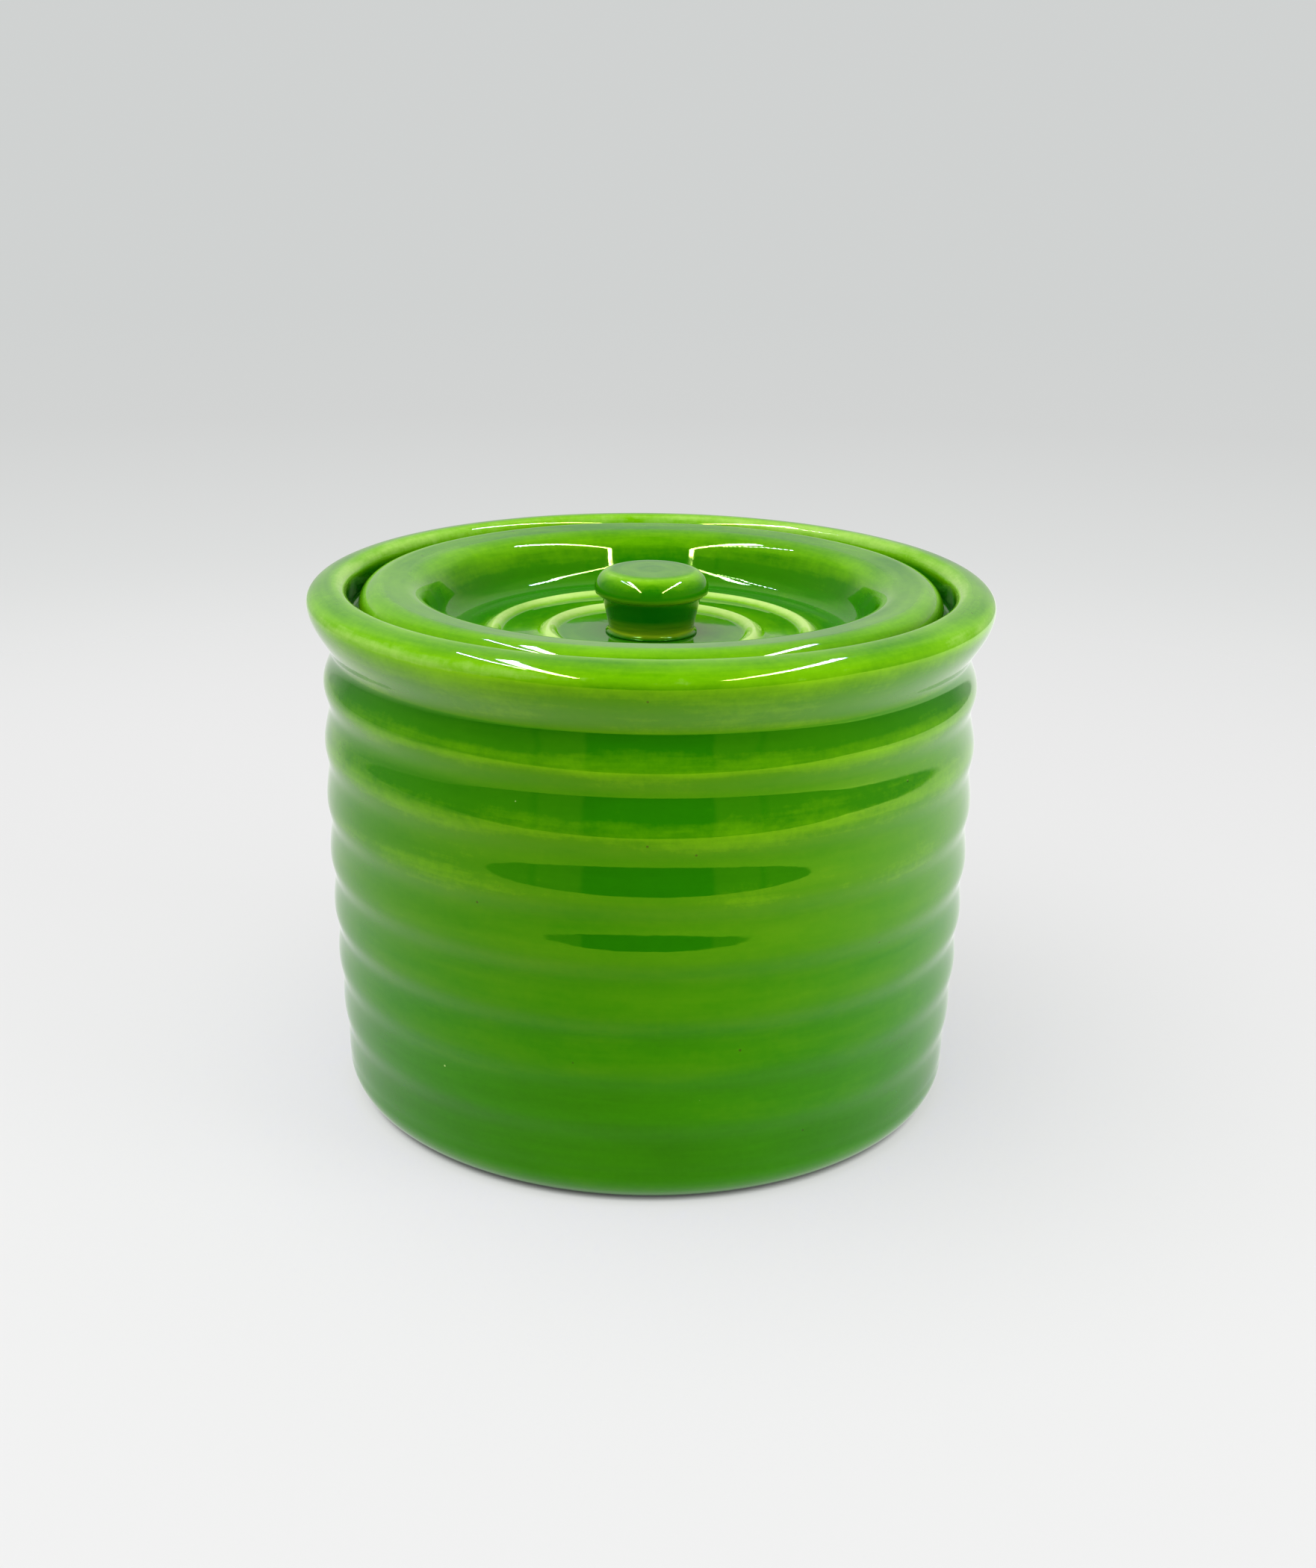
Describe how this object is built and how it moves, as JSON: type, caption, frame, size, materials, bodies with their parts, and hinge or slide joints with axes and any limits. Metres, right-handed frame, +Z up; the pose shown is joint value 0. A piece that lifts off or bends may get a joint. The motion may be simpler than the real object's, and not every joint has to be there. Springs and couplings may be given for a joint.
{
  "type": "ceramic canister",
  "caption": "Glazed ceramic canister: a ringed, slightly barrelled jar with a flared rim, and a dished drop-in lid lifted by a small mushroom knob.",
  "frame": {"origin": "centre of the face that the jar stands on", "axes": "+Z up along the jar's axis, -Y towards the viewer of the picture"},
  "size_m": [0.15, 0.15, 0.1185],
  "materials": {
    "jar_glaze": "glossy green glaze over pale clay, bare clay on the foot ring",
    "lid_glaze": "glossy green glaze, paler where it thins over edges and raised rings",
    "knob_glaze": "glossy green glaze, brownish yellow where it thins at the cap's underside and foot"
  },
  "bodies": {
    "jar": {"jar": "jar_glaze"},
    "lid": {"lid": "lid_glaze", "lid_knob": "knob_glaze"}
  },
  "joints": [
    {"name": "lid_lift", "type": "slide", "parent": "jar", "child": "lid", "axis": [0, 0, 1], "range_m": [0, 0.06]}
  ]
}
